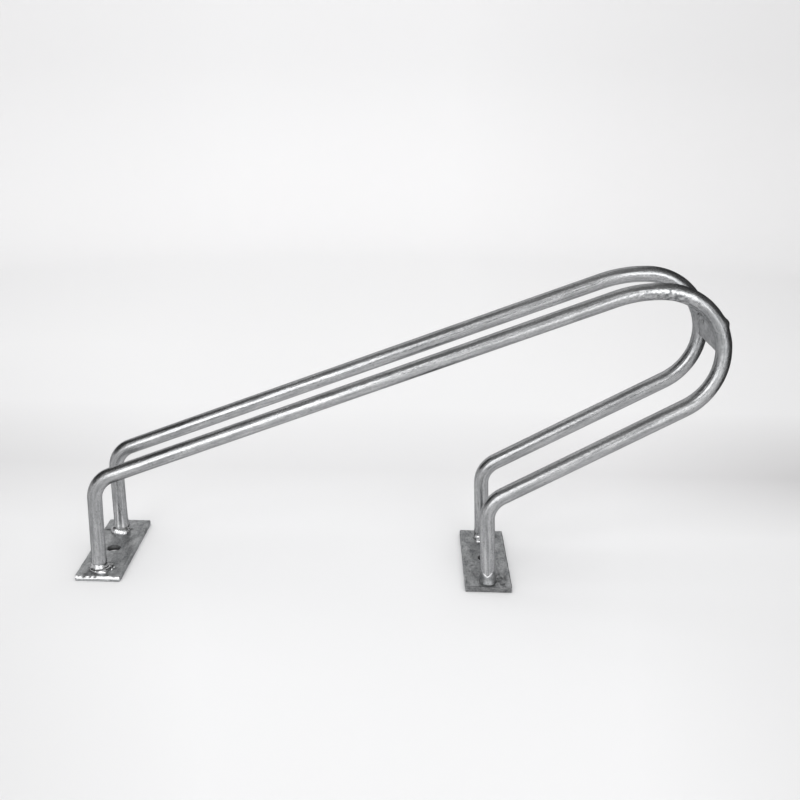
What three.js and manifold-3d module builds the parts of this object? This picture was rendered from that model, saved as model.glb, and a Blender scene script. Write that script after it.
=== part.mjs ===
// Hoop bike rack: two bent round bars on two foot plates, joined by a flat bridge at the crown.
// Lengths are millimetres and angles are degrees. +X runs from the low entry end to the crown,
// +Y to the rack's left, +Z up. The rack is laid out from the foot of the entry legs on the floor,
// and at the end it is moved so that the origin is the middle of its base.

import * as THREE from 'three';
import { mergeVertices } from 'three/addons/utils/BufferGeometryUtils.js';
import Module from 'manifold-3d';

// Round bar of the hoops
const barDiameter = 16;
const legBendRadius = 30;

// One hoop seen from its side
const entryLegRise = 108;        // floor to where the entry leg's line meets the upper bar's line
const upperSlope = 21;
const upperRunLength = 578;      // from that meeting point to the start of the crown
const leadInRadius = 130;        // the crown starts as a slow bend and then tightens
const leadInTurn = 22;
const crownRadius = 63;
const lowerSlope = 29.5;
const footSpacing = 428;         // entry foot to crown foot
const crownLegRake = 3;          // the crown leg leans back over the entry end

// The two hoops draw together towards the crown: distances between bar centres
const entryFeetSpacing = 99;
const crownFeetSpacing = 110;
const bridgeSpacing = 93;

// Foot plates, cut from flat bar
const plateThickness = 6;
const plateWidth = 50;
const entryPlateLength = 150;
const crownPlateLength = 145;
const plateCornerRadius = 3;
const anchorHoleDiameter = 14;
const entryPlateShiftX = 3;      // plate centre from the middle of its two legs
const entryPlateShiftY = 4;
const crownPlateShiftX = 0;
const crownPlateShiftY = 1.5;

// Bridge plate between the crowns
const bridgeThickness = 5;
const bridgeHeight = 25;
const bridgeAngle = 10;          // above the level of the crown's centre

// Weld beads
const footWeldLeg = 5.5;
const bridgeWeldLeg = 4;
const weldBulgePower = 1.4;      // 1 is a full round bead, 2 a flat one
const footWeldRipples = 12;
const bridgeWeldRipples = 5;
const rippleShare = 0.08;
const unevenShare = 0.1;

// Gap left between pieces that touch
const jointGap = 0.3;

// Facets
const barSides = 24;
const bendStep = 7.5;
const ringSteps = 48;
const beadArcSteps = 5;
const capsuleCapSteps = 3;
const capsuleSides = 16;
const capsuleLengthSteps = 20;
const holeSteps = 24;
const cornerSteps = 4;

const barRadius = barDiameter / 2;
const rightSide = -1;
const leftSide = 1;

const radians = THREE.MathUtils.degToRad;

// Solids for cutting
const library = await Module();
library.setup();

function solidFrom(geometry) {
  const bare = geometry.clone();
  bare.deleteAttribute('normal');
  bare.deleteAttribute('uv');
  const merged = mergeVertices(bare);
  return new library.Manifold(new library.Mesh({
    numProp: 3,
    vertProperties: Float32Array.from(merged.attributes.position.array),
    triVerts: Uint32Array.from(merged.index.array),
  }));
}

function geometryFrom(solid) {
  const cut = solid.getMesh();
  const geometry = new THREE.BufferGeometry();
  geometry.setAttribute('position', new THREE.BufferAttribute(cut.vertProperties, 3));
  geometry.setIndex(new THREE.BufferAttribute(cut.triVerts, 1));
  geometry.computeVertexNormals();
  return geometry;
}

function cutAway(geometry, ...cutters) {
  let solid = solidFrom(geometry);
  for (const cutter of cutters) solid = solid.subtract(solidFrom(cutter));
  return geometryFrom(solid);
}

// A bar's centre line, walked in a flat plane as a bender's schedule of runs and bends.
// A positive turn bends to the right of the way the bar is going.
class BarWalk {
  constructor(x, z, heading) {
    this.stations = [{ x, z, heading }];
  }

  get end() {
    return this.stations.at(-1);
  }

  run(length) {
    const { x, z, heading } = this.end;
    const along = radians(heading);
    this.stations.push({
      x: x + length * Math.cos(along),
      z: z + length * Math.sin(along),
      heading,
    });
    return this;
  }

  bend(radius, turn) {
    const { x, z, heading } = this.end;
    const side = Math.sign(turn);
    const centreX = x + side * radius * Math.sin(radians(heading));
    const centreZ = z - side * radius * Math.cos(radians(heading));
    const steps = Math.ceil(Math.abs(turn) / bendStep);
    for (let step = 1; step <= steps; step += 1) {
      const turned = heading - turn * step / steps;
      this.stations.push({
        x: centreX - side * radius * Math.sin(radians(turned)),
        z: centreZ + side * radius * Math.cos(radians(turned)),
        heading: turned,
      });
    }
    this.bendCentre = { x: centreX, z: centreZ };
    return this;
  }
}

// Length of straight bar that a bend takes from each side of the corner it rounds off
function bendTakes(radius, turn) {
  return radius * Math.tan(radians(Math.abs(turn)) / 2);
}

// How far to go from one point along its heading to meet the line of another
function distanceToLine(from, to) {
  const a = radians(from.heading);
  const b = radians(to.heading);
  const dx = to.x - from.x;
  const dz = to.z - from.z;
  return (dx * Math.sin(b) - dz * Math.cos(b)) / Math.sin(b - a);
}

const upHeading = 90;
const halfTurn = 180;
const legSeat = plateThickness / 2;   // the bars are laid out into the plates and trimmed there

// The hoop's centre line in its own plane, from the entry foot to the crown foot
function walkHoop() {
  const entryTurn = upHeading - upperSlope;
  const crownTurn = halfTurn + upperSlope - lowerSlope - leadInTurn;
  const crownLegTurn = lowerSlope - upHeading - crownLegRake;

  const walk = new BarWalk(0, legSeat, upHeading);
  walk.run(entryLegRise - legSeat - bendTakes(legBendRadius, entryTurn));
  walk.bend(legBendRadius, entryTurn);
  walk.run(upperRunLength - bendTakes(legBendRadius, entryTurn));
  walk.bend(leadInRadius, leadInTurn);
  walk.bend(crownRadius, crownTurn);
  const crownCentre = walk.bendCentre;

  const foot = { x: footSpacing, z: legSeat, heading: upHeading + crownLegRake };
  const lowerLine = walk.end;
  const taken = bendTakes(legBendRadius, crownLegTurn);
  walk.run(distanceToLine(lowerLine, foot) - taken);
  walk.bend(legBendRadius, crownLegTurn);
  walk.run(distanceToLine(foot, lowerLine) - taken);
  return { stations: walk.stations, crownCentre };
}

const hoopWalk = walkHoop();

// Place of the bridge plate, with its upper and lower edges on the bars' centre lines
const bridgeReach = Math.sqrt(crownRadius ** 2 - (bridgeHeight / 2) ** 2);
const bridgeX = hoopWalk.crownCentre.x + bridgeReach * Math.cos(radians(bridgeAngle));
const bridgeZ = hoopWalk.crownCentre.z + bridgeReach * Math.sin(radians(bridgeAngle));

// Each hoop lies in a flat plane that leans in towards the crown
const spreadAlong = (crownFeetSpacing - entryFeetSpacing) / footSpacing;
const bridgeDrawIn = bridgeSpacing - entryFeetSpacing - spreadAlong * bridgeX;
const spreadUp = bridgeDrawIn / (bridgeZ - plateThickness);

function halfSpacing(x, z) {
  return (entryFeetSpacing + spreadAlong * x + spreadUp * (z - plateThickness)) / 2;
}

// A centre line in space that a section is carried along, one step for each station
class BarLine extends THREE.Curve {
  constructor(side) {
    super();
    this.points = [];
    this.ways = [];
    for (const { x, z, heading } of hoopWalk.stations) {
      const wayX = Math.cos(radians(heading));
      const wayZ = Math.sin(radians(heading));
      const wayY = side * (spreadAlong * wayX + spreadUp * wayZ) / 2;
      this.points.push(new THREE.Vector3(x, side * halfSpacing(x, z), z));
      this.ways.push(new THREE.Vector3(wayX, wayY, wayZ).normalize());
    }
    this.steps = this.points.length - 1;
  }

  // Stations are taken one by one, so that straight runs get no needless steps
  getUtoTmapping(u) {
    return u;
  }

  between(list, t, target) {
    const place = Math.min(t * this.steps, this.steps);
    const before = Math.min(Math.floor(place), this.steps - 1);
    return target.lerpVectors(list[before], list[before + 1], place - before);
  }

  getPoint(t, target = new THREE.Vector3()) {
    return this.between(this.points, t, target);
  }

  getTangent(t, target = new THREE.Vector3()) {
    return this.between(this.ways, t, target).normalize();
  }
}

function roundSection(radius) {
  const section = new THREE.Shape();
  section.absarc(0, 0, radius, 0, 2 * Math.PI, false);
  return section;
}

// The bar of one hoop, grown by a clearance where it serves as a cutter
function hoopBar(side, clearance) {
  const line = new BarLine(side);
  return new THREE.ExtrudeGeometry(roundSection(barRadius + clearance), {
    steps: line.steps,
    curveSegments: barSides / 2,
    extrudePath: line,
  });
}

// Foot plates
const feet = {
  entry: {
    x: 0,
    shiftX: entryPlateShiftX,
    shiftY: entryPlateShiftY,
    plateLength: entryPlateLength,
  },
  crown: {
    x: footSpacing,
    shiftX: crownPlateShiftX,
    shiftY: crownPlateShiftY,
    plateLength: crownPlateLength,
  },
};

function plateCentre(foot) {
  return new THREE.Vector3(foot.x + foot.shiftX, foot.shiftY, 0);
}

function roundedRectangle(width, length, radius) {
  const x = width / 2;
  const y = length / 2;
  const quarter = Math.PI / 2;
  const outline = new THREE.Shape();
  outline.absarc(x - radius, y - radius, radius, 0, quarter, false);
  outline.absarc(radius - x, y - radius, radius, quarter, 2 * quarter, false);
  outline.absarc(radius - x, radius - y, radius, 2 * quarter, 3 * quarter, false);
  outline.absarc(x - radius, radius - y, radius, 3 * quarter, 4 * quarter, false);
  outline.closePath();
  return outline;
}

function footPlate(foot) {
  const body = new THREE.ExtrudeGeometry(
    roundedRectangle(plateWidth, foot.plateLength, plateCornerRadius),
    { depth: plateThickness, bevelEnabled: false, curveSegments: cornerSteps },
  );
  const holeDepth = 2 * plateThickness;
  const drill = new THREE.CylinderGeometry(
    anchorHoleDiameter / 2, anchorHoleDiameter / 2, holeDepth, holeSteps,
  );
  drill.rotateX(Math.PI / 2);
  drill.translate(0, 0, plateThickness / 2);
  return cutAway(body, drill);
}

// The room that a foot plate takes up, with the joint gap round it
function plateRoom(foot) {
  const room = new THREE.BoxGeometry(
    plateWidth + 2 * jointGap, foot.plateLength + 2 * jointGap, plateThickness + 2 * jointGap,
  );
  const centre = plateCentre(foot);
  room.translate(centre.x, centre.y, plateThickness / 2);
  return room;
}

// A hoop's bar with both legs trimmed level on the plates
function hoop(side) {
  return cutAway(hoopBar(side, 0), plateRoom(feet.entry), plateRoom(feet.crown));
}

// A slow unevenness and a quick ripple along a bead, as a hand weld has
function beadSwell(turnShare, ripples, phase) {
  const round = 2 * Math.PI * turnShare;
  return 1 + rippleShare * Math.cos(ripples * round) + unevenShare * Math.cos(2 * round + phase);
}

// Section of a corner bead: from the plate, over a bulged face, to the bar, and back inside the bar
function ringProfile() {
  const inside = barRadius / 2;
  const profile = [new THREE.Vector2(inside, 0)];
  for (let step = 0; step <= beadArcSteps; step += 1) {
    const rise = (Math.PI / 2) * step / beadArcSteps;
    profile.push(new THREE.Vector2(
      barRadius + footWeldLeg * Math.max(Math.cos(rise), 0) ** weldBulgePower,
      footWeldLeg * Math.sin(rise) ** weldBulgePower,
    ));
  }
  profile.push(new THREE.Vector2(inside, footWeldLeg));
  profile.push(new THREE.Vector2(inside, 0));
  return profile;
}

// The bead round the foot of one leg, seated on the plate and cut by the bar
function footWeld(foot, side, phase) {
  const ring = new THREE.LatheGeometry(ringProfile(), ringSteps);
  ring.rotateX(Math.PI / 2);
  const places = ring.attributes.position;
  const inside = barRadius / 2;
  for (let index = 0; index < places.count; index += 1) {
    const x = places.getX(index);
    const y = places.getY(index);
    const out = Math.hypot(x, y);
    const turnShare = Math.atan2(y, x) / (2 * Math.PI);
    const swell = beadSwell(turnShare, footWeldRipples, phase);
    const swollen = inside + (out - inside) * swell;
    places.setXYZ(index, x * swollen / out, y * swollen / out, places.getZ(index) * swell);
  }
  const seat = plateThickness + jointGap;
  ring.translate(foot.x, side * halfSpacing(foot.x, plateThickness), seat);
  return cutAway(ring, hoopBar(side, jointGap));
}

// Bridge plate
const bridgeTurn = new THREE.Matrix4().makeRotationY(-radians(bridgeAngle));
const bridgePlace = new THREE.Matrix4().makeTranslation(bridgeX, 0, bridgeZ);
const bridgeFrame = bridgePlace.multiply(bridgeTurn);

// The bridge as sawn off, reaching into both bars, grown by a clearance where it is a cutter
function bridgeBlank(clearance) {
  const blank = new THREE.BoxGeometry(
    bridgeThickness + 2 * clearance, bridgeSpacing, bridgeHeight + 2 * clearance,
  );
  return blank.applyMatrix4(bridgeFrame);
}

// The finished bridge, coped to the bars at both ends
function bridge() {
  return cutAway(
    bridgeBlank(0), hoopBar(rightSide, jointGap), hoopBar(leftSide, jointGap),
  );
}

// A point on the corner line between a face of the bridge and a bar, at a height on the bridge
function bridgeCorner(side, face, height) {
  const point = new THREE.Vector3(face * bridgeThickness / 2, 0, height);
  point.applyMatrix4(bridgeFrame);
  point.y = side * (halfSpacing(point.x, point.z) - barRadius);
  return point;
}

// The bead in one corner between the bridge and a bar
function bridgeWeld(side, face, phase) {
  const straight = bridgeHeight - 2 * bridgeWeldLeg;
  const bead = new THREE.CapsuleGeometry(
    bridgeWeldLeg, straight, capsuleCapSteps, capsuleSides, capsuleLengthSteps,
  );
  const places = bead.attributes.position;
  for (let index = 0; index < places.count; index += 1) {
    const along = places.getY(index);
    const swell = beadSwell(along / bridgeHeight, bridgeWeldRipples, phase);
    places.setXYZ(index, places.getX(index) * swell, along, places.getZ(index) * swell);
  }
  const low = bridgeCorner(side, face, -bridgeHeight / 2);
  const high = bridgeCorner(side, face, bridgeHeight / 2);
  const beadAxis = new THREE.Vector3(0, 1, 0);
  const way = high.clone().sub(low).normalize();
  bead.applyQuaternion(new THREE.Quaternion().setFromUnitVectors(beadAxis, way));
  const middle = low.add(high).divideScalar(2);
  bead.translate(middle.x, middle.y, middle.z);
  return cutAway(bead, bridgeBlank(jointGap), hoopBar(side, jointGap));
}

// Finishes
const galvanisedBar = { color: 0x9fa4a6, roughness: 0.38, metalness: 0.9 };
const galvanisedPlate = { color: 0x8b8f91, roughness: 0.55, metalness: 0.85 };
const galvanisedWeld = { color: 0xb4b8ba, roughness: 0.45, metalness: 0.9 };

function piece(name, geometry, finish) {
  const mesh = new THREE.Mesh(geometry, new THREE.MeshStandardMaterial(finish));
  mesh.name = name;
  return mesh;
}

const rack = new THREE.Group();
rack.add(piece('right_hoop', hoop(rightSide), galvanisedBar));
rack.add(piece('left_hoop', hoop(leftSide), galvanisedBar));

for (const [end, foot] of Object.entries(feet)) {
  const plate = piece(`${end}_foot_plate`, footPlate(foot), galvanisedPlate);
  plate.position.copy(plateCentre(foot));
  rack.add(plate);
}

rack.add(piece('bridge_plate', bridge(), galvanisedPlate));

const sides = { right: rightSide, left: leftSide };
const innerFace = -1;
const outerFace = 1;
let phase = 0;
for (const [name, side] of Object.entries(sides)) {
  for (const [end, foot] of Object.entries(feet)) {
    phase += 1;
    rack.add(piece(`${end}_${name}_leg_weld`, footWeld(foot, side, phase), galvanisedWeld));
  }
  for (const [label, face] of [['inner', innerFace], ['outer', outerFace]]) {
    phase += 1;
    rack.add(piece(`bridge_${name}_${label}_weld`, bridgeWeld(side, face, phase), galvanisedWeld));
  }
}

// The origin goes to the middle of the base
const box = new THREE.Box3().setFromObject(rack);
const middle = box.getCenter(new THREE.Vector3());
rack.position.set(-middle.x, -middle.y, -box.min.z);

const part = new THREE.Group();
part.add(rack);

export default part;
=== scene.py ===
# %% [markdown]
# # Hoop bike rack
#
# A wheel rack of two bent round bars on two flat foot plates, welded and then
# dipped in zinc. The construction is already fixed: thirteen solids in one
# frame. This lesson gives each of them its real surface. Every piece is a
# surface worked out with numpy, so that the wavy zinc, the drips and the weld
# ripples are shapes and not only paint.

# %% Load the frame
import itertools

import bpy
import numpy as np
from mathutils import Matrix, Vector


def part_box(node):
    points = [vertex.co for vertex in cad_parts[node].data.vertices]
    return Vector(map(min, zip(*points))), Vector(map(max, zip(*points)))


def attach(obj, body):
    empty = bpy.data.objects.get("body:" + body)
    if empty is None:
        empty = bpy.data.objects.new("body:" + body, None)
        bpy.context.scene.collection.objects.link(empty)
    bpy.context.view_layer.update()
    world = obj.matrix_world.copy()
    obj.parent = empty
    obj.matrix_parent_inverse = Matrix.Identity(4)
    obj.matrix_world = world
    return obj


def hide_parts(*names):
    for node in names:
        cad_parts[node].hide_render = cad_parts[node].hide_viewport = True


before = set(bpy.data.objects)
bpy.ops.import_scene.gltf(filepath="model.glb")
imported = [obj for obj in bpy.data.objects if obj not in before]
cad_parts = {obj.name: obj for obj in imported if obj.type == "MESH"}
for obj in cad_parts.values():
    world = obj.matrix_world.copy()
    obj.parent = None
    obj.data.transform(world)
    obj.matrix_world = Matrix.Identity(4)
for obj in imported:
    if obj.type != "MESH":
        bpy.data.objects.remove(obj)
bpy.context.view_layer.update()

# %% [markdown]
# ## Sizes
#
# The bars are bent on formers with fixed radii, so a few driving sizes give
# their whole route. Tracing a curve by hand would also work, but its bends
# would not be true arcs. These are the sizes of the construction, in metres
# and degrees. The places come from the frame: the entry foot plate fixes where
# the route starts.

# %% Driving sizes
MM = 0.001
bar_radius = 8 * MM
leg_seat = 3 * MM
leg_bend = 30 * MM
entry_rise = 108 * MM
upper_slope = 21
upper_run = 578 * MM
lead_in_radius = 130 * MM
lead_in_turn = 22
crown_radius = 63 * MM
lower_slope = 29.5
crown_rake = 3
foot_spacing = 428 * MM
entry_spacing = 99 * MM
crown_spacing = 110 * MM
bridge_spacing = 93 * MM
bridge_thickness = 5 * MM
bridge_height = 25 * MM
bridge_angle = 10
plate_thickness = 6 * MM
plate_shift = {"entry": (3 * MM, 4 * MM), "crown": (0.0, 1.5 * MM)}
anchor_hole_radius = 7 * MM
hoop_sides = {"right": -1, "left": 1}
print("bar of %.0f mm, plates of %.0f mm" % (2 * bar_radius / MM, plate_thickness / MM))


# %% Places from the frame
def node_box(name):
    """The lowest and highest corner of a node as numpy arrays."""
    low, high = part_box(name)
    return np.array(low), np.array(high)


def plate_places(name):
    """A foot plate's half size, its middle, its hole's centre, and the x of the two legs on it."""
    low, high = node_box(name)
    middle = (low + high)[:2] / 2
    shift = plate_shift[name.split("_")[0]]
    return (high - low)[:2] / 2, middle, middle - (0, shift[1]), middle[0] - shift[0]


entry_hole, entry_legs = plate_places("entry_foot_plate")[2:]
route_start = np.array([entry_legs, entry_hole[1], 0.0])
print("the route starts at", route_start.round(4))

# %% [markdown]
# ## Smooth unevenness
#
# Hot zinc never lies perfectly flat. Smooth noise in space gives that: random
# numbers sit on the corners of a cubic lattice, and a point takes a blend of
# the eight corners round it. A texture with a Displace modifier could do it
# too, but a function on whole arrays is exact and can differ from place to
# place. It serves for wide waves and fine grain, by the size of its cells.

# %% Noise on a lattice
lattice = 32


def unevenness(points, cell, seed):
    """Smooth noise from -1 to 1. In each cell the share t runs 0 to 1 along an axis and is eased
    to t*t*(3 - 2t), and the eight corner numbers are weighted by the products of the shares."""
    table = np.random.default_rng(seed).uniform(-1, 1, (lattice, lattice, lattice))
    scaled = points / np.asarray(cell)
    corner = np.floor(scaled).astype(int)
    share = scaled - corner
    share = share * share * (3 - 2 * share)
    total = np.zeros(points.shape[:-1])
    for step in itertools.product((0, 1), repeat=3):
        weight = np.prod(np.where(np.array(step) == 1, share, 1 - share), axis=-1)
        i, j, k = np.moveaxis((corner + step) % lattice, -1, 0)
        total += weight * table[i, j, k]
    return total


print("noise sample", unevenness(np.array([[0.1, 0.2, 0.3]]), 0.01, 1).round(3))


# %% Hills and slopes
def hill(distance, width):
    """A smooth round hill: e to the power of minus (distance / width) squared."""
    return np.exp(-((distance / width) ** 2))


def ease(value, start, end):
    """0 before start, 1 after end, and 3t^2 - 2t^3 between them."""
    t = np.clip((value - start) / (end - start), 0, 1)
    return t * t * (3 - 2 * t)


def angle_from(angle, degrees):
    """An angle counted from a heading in degrees, brought between minus and plus half a turn."""
    return (angle - np.radians(degrees) + np.pi) % (2 * np.pi) - np.pi


print("a hill one width from its top is %.2f high" % hill(1.0, 1.0))

# %% [markdown]
# ## From a grid to a closed piece
#
# Every piece here is a grid of points whose columns run round it. The rows
# either close on themselves, as on a ring, or end in one point at each end.
# Blender's own tubes and cylinders would need joining and cleaning, while one
# closed grid has no seams at all. The sign of its volume says whether its
# faces point outwards.

# %% Faces of a grid
def grid_faces(rows, columns, ring):
    """Quads between neighbouring rows and columns. The columns always close, the rows only on a ring."""
    last = rows if ring else rows - 1
    row, column = np.meshgrid(np.arange(last), np.arange(columns), indexing="ij")
    here = row * columns
    below = (row + 1) % rows * columns
    right = (column + 1) % columns
    quads = np.stack([here + column, here + right, below + right, below + column], -1)
    return quads.reshape(-1, 4)


def fan(ring_start, columns, pole, flip):
    """Triangles from one ring of points to the pole that closes it."""
    here = ring_start + np.arange(columns)
    after = ring_start + (np.arange(columns) + 1) % columns
    tip = np.full(columns, pole)
    return np.stack([here, tip, after] if flip else [after, tip, here], -1)


print("a grid of 3 by 4 points has", len(grid_faces(3, 4, False)), "quads")


# %% A closed solid from a grid
def signed_volume(points, triangles):
    """A sixth of the sum of a . (b x c) over the triangles, positive when they face outwards."""
    a, b, c = (points[triangles[:, i]] for i in range(3))
    return np.einsum("ij,ij->i", a, np.cross(b, c)).sum() / 6


def grid_solid(grid, ring=False):
    """The points, quads and triangles of one closed grid, facing outwards."""
    rows, columns = grid.shape[:2]
    points = grid.reshape(-1, 3)
    quads = grid_faces(rows, columns, ring)
    triangles = np.zeros((0, 3), int)
    if not ring:
        points = np.concatenate([points, grid[0].mean(0, keepdims=True), grid[-1].mean(0, keepdims=True)])
        first = fan(0, columns, rows * columns, True)
        last = fan((rows - 1) * columns, columns, rows * columns + 1, False)
        triangles = np.concatenate([first, last])
    all_triangles = np.concatenate([quads[:, :3], quads[:, [0, 2, 3]], triangles])
    if signed_volume(points, all_triangles) < 0:
        quads = quads[:, ::-1]
        triangles = triangles[:, ::-1]
    return points, quads, triangles


print("a ring of 4 points closes with", len(fan(0, 4, 12, True)), "triangles")


# %% A piece that stands for its node
def make_piece(name, solids, finish, **point_values):
    """Joins closed grids in one object, gives it its finish and lets it stand for the node of its name.
    Values per point, such as grain or dull, become attributes that the finish reads."""
    points = np.concatenate([solid[0] for solid in solids])
    starts = np.cumsum([0] + [len(solid[0]) for solid in solids])
    quads = np.concatenate([solid[1] + start for solid, start in zip(solids, starts)])
    triangles = np.concatenate([solid[2] + start for solid, start in zip(solids, starts)])
    corners = np.concatenate([quads.ravel(), triangles.ravel()])
    sides = np.concatenate([np.full(len(quads), 4), np.full(len(triangles), 3)])
    loop_starts = np.concatenate([[0], np.cumsum(sides)[:-1]])
    mesh = bpy.data.meshes.new(name)
    mesh.vertices.add(len(points))
    mesh.vertices.foreach_set("co", points.astype(np.float32).ravel())
    mesh.loops.add(len(corners))
    mesh.loops.foreach_set("vertex_index", corners.astype(np.int32))
    mesh.polygons.add(len(sides))
    mesh.polygons.foreach_set("loop_start", loop_starts.astype(np.int32))
    mesh.polygons.foreach_set("use_smooth", np.ones(len(sides), bool))
    mesh.update(calc_edges=True)
    mesh.validate()
    for label, values in point_values.items():
        kind, field = ("FLOAT_VECTOR", "vector") if values.ndim == 2 else ("FLOAT", "value")
        layer = mesh.attributes.new(label, kind, "POINT")
        layer.data.foreach_set(field, values.astype(np.float32).ravel())
    piece = bpy.data.objects.new(name, mesh)
    bpy.context.scene.collection.objects.link(piece)
    mesh.materials.append(finishes[finish])
    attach(piece, "root")
    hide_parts(name)
    low, high = node_box(name)
    below = ((low - points.min(0)) / MM).round(2)
    above = ((points.max(0) - high) / MM).round(2)
    print(name, len(quads) * 2 + len(triangles), "triangles, mm past its node", below, above)


print("a piece gets its mesh, attributes and finish in one call")

# %% [markdown]
# ## Three zinc finishes
#
# All the steel carries the same zinc, but it looks different by what lies
# under it. On the drawn bar it is bright, with fine streaks along the bar. On
# the flat plates it is dull and mottled. On the weld beads it runs together
# thick and shiny. A picture could be laid over each piece, but noise at the
# real scale of the pattern has no seams and stays sharp from near by. Where the
# zinc is thick or dull, and where painted highlights and painted shade lie, is
# written on the points of each piece.

# %% Node helpers
finishes = {}


def start_material(name):
    """A new material: the material, its node tree and its surface shader."""
    material = bpy.data.materials.new(name)
    material.use_nodes = True
    tree = material.node_tree
    return material, tree, tree.nodes["Principled BSDF"]


def add(tree, kind, inputs=(), **settings):
    """Adds a node, sets its properties, and fills or links its inputs by name."""
    node = tree.nodes.new(kind)
    for key, value in settings.items():
        setattr(node, key, value)
    for key, value in dict(inputs).items():
        if isinstance(value, bpy.types.NodeSocket):
            tree.links.new(value, node.inputs[key])
        else:
            node.inputs[key].default_value = value
    return node


print("finishes so far:", len(finishes))


# %% Values and colours in nodes
def object_place(tree):
    """The point's place in its object."""
    return add(tree, "ShaderNodeTexCoord").outputs["Object"]


def reading(tree, label, output="Fac"):
    """The value that a piece's own points carry under a label."""
    return add(tree, "ShaderNodeAttribute", attribute_name=label).outputs[output]


def spread(tree, value, low, high, start=0.3, end=0.7):
    """Maps a value between start and end to low and high."""
    given = {"Value": value, "From Min": start, "From Max": end, "To Min": low, "To Max": high}
    return add(tree, "ShaderNodeMapRange", given, clamp=True).outputs["Result"]


def maths(tree, operation, *values):
    """Takes values together one after the other: ADD, MULTIPLY, DIVIDE or MAXIMUM."""
    total = values[0]
    for value in values[1:]:
        total = add(tree, "ShaderNodeMath", {0: total, 1: value}, operation=operation).outputs["Value"]
    return total


colour_inputs = (6, 7)
colour_output = 2


def mixed(tree, share, first, second):
    """The first colour where the share is 0, the second where it is 1. A colour may be three numbers."""
    ends = [(*colour, 1) if isinstance(colour, tuple) else colour for colour in (first, second)]
    given = {"Factor": share, **dict(zip(colour_inputs, ends))}
    return add(tree, "ShaderNodeMix", given, data_type="RGBA").outputs[colour_output]


print("a mixed colour leaves by output", colour_output)

# %% Zinc helpers
zinc_metallic = 0.96
zinc_edge_tint = (0.4, 0.4, 0.41, 1)
bead_edge_tint = (1.0, 1.0, 1.0, 1)


def zinc_patterns(tree, place, axis, table):
    """A noise for each row: patches per metre, detail, fineness, and the stretch along one axis."""
    patterns = {}
    for name, (scale, detail, fineness, stretch) in table.items():
        factors = [1, 1, 1]
        factors[axis] = stretch
        shrunk = add(tree, "ShaderNodeVectorMath", {0: place, 1: factors}, operation="MULTIPLY").outputs[0]
        given = {"Vector": shrunk, "Scale": scale, "Detail": detail, "Roughness": fineness}
        patterns[name] = add(tree, "ShaderNodeTexNoise", given).outputs["Fac"]
    return patterns


def weighted(tree, patterns, table):
    """The sum of patterns, each spread between the low and high value of its row and its own range."""
    return maths(tree, "ADD", *[spread(tree, patterns[name], *row) for name, *row in table])


def finish_zinc(name, tree, shader, zinc, bump, metallic, edge_tint):
    """Links colour, roughness and bump, given as (strength, depth in metres, height), to the shader."""
    colour, roughness = zinc
    strength, depth, height = bump
    tree.links.new(colour, shader.inputs["Base Color"])
    tree.links.new(roughness, shader.inputs["Roughness"])
    given = {"Strength": strength, "Distance": depth, "Height": height}
    tree.links.new(add(tree, "ShaderNodeBump", given).outputs["Normal"], shader.inputs["Normal"])
    shader.inputs["Metallic"].default_value = metallic
    shader.inputs["Specular Tint"].default_value = edge_tint
    print("finish", name, "with", len(tree.nodes), "nodes")


print("zinc is metal by a share of", zinc_metallic)

# %% Patterns and greys of the bar
bar_patterns = {
    "streaks": (460, 3, 0.5, 0.05),
    "patches": (150, 3, 0.5, 0.4),
    "flecks": (520, 2, 0.5, 0.6),
    "blotches": (360, 3, 0.5, 0.8),
    "pits": (640, 2, 0.5, 0.45),
    "grain": (2600, 2, 0.5, 1),
}
bar_tone = [
    ("streaks", 0, 0.5, 0.38, 0.62),
    ("patches", 0, 0.25, 0.36, 0.64),
    ("flecks", 0, 0.25, 0.36, 0.64),
]
bar_roughness = [("streaks", 0.08, 0.13), ("patches", 0.10, 0.17)]
bar_height = [("grain", 0, 0.15), ("streaks", 0, 1), ("flecks", 0, 0.6)]
bar_greys = {
    "bright": ((0.27, 0.275, 0.28), (0.51, 0.513, 0.52)),
    "matt": ((0.14, 0.145, 0.15), (0.37, 0.376, 0.384)),
    "spot": ((0.13, 0.135, 0.14), (0.50, 0.506, 0.51)),
    # Near white: a painted highlight on the zinc runs.
    "run": ((0.72, 0.725, 0.73), (0.85, 0.855, 0.86)),
}
blotch_range = (0.38, 0.62)
pit_grey = (0.12, 0.12, 0.12)
pit_share = 0.55
pit_range = (0.64, 0.70)
pits_on_lumps = 0.05
dull_roughness = 0.06
run_roughness = 0.10
bar_bump = (0.5, 0.2 * MM)
print("patterns of the bar:", sorted(bar_patterns))


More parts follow.
